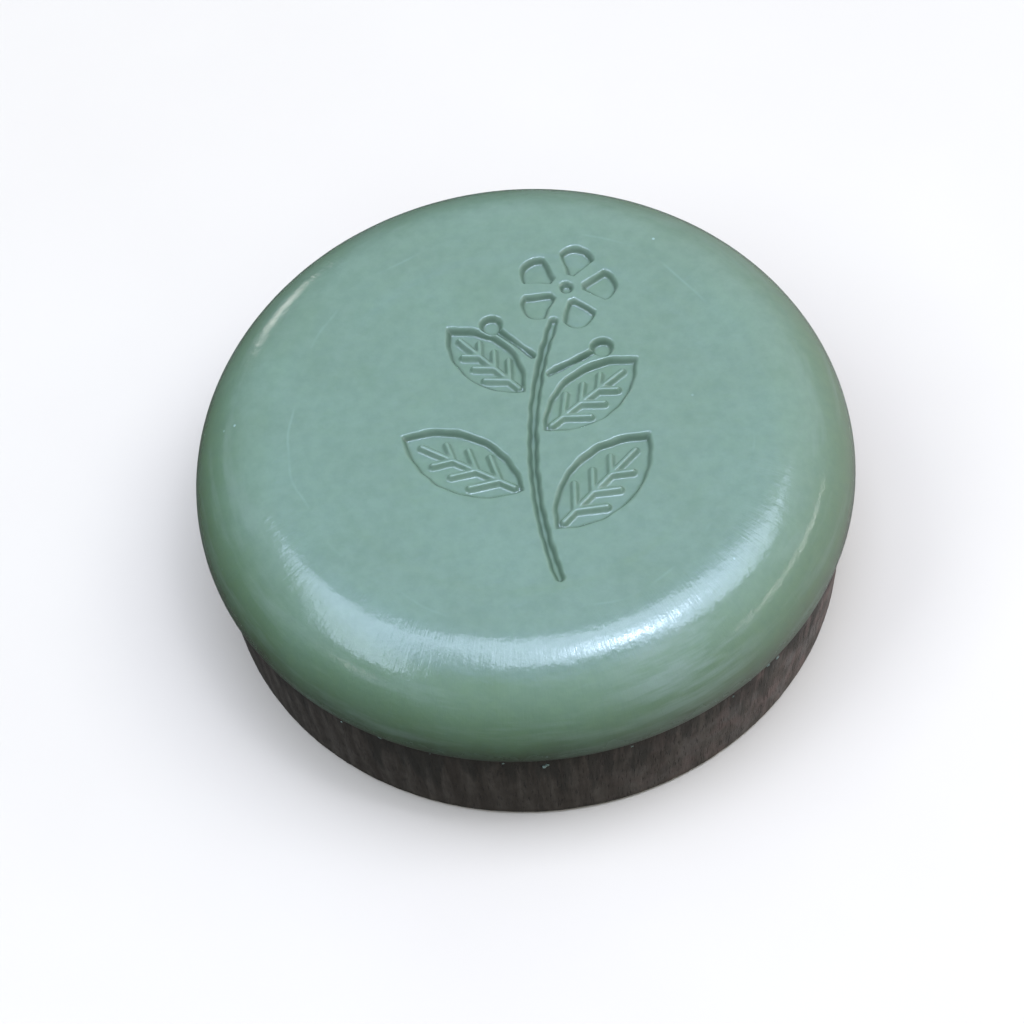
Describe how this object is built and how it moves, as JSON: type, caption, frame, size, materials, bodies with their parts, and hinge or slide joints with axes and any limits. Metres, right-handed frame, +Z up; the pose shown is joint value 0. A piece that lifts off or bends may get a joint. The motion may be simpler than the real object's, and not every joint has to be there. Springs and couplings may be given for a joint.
{
  "type": "shaving soap puck",
  "caption": "Round-shouldered shaving soap puck with a leafy sprig pressed into its flat top, lifting out of a low dark wooden dish.",
  "frame": {"origin": "centre of the dish's flat underside, on the surface it stands on", "axes": "+Z up along the common axis of puck and dish; +Y towards the top of the pressed sprig; +X to its right"},
  "size_m": [0.08, 0.08, 0.028],
  "materials": {
    "soap": "smooth moulded soap, softly glossy, sage green",
    "dark_wood": "dark stained wood with upright grain, almost matt"
  },
  "bodies": {
    "dish": {"wooden_dish": "dark_wood"},
    "puck": {"soap_puck": "soap"}
  },
  "joints": [
    {"name": "puck_lift", "type": "slide", "parent": "dish", "child": "puck", "axis": [0, 0, 1], "range_m": [0, 0.03]}
  ]
}
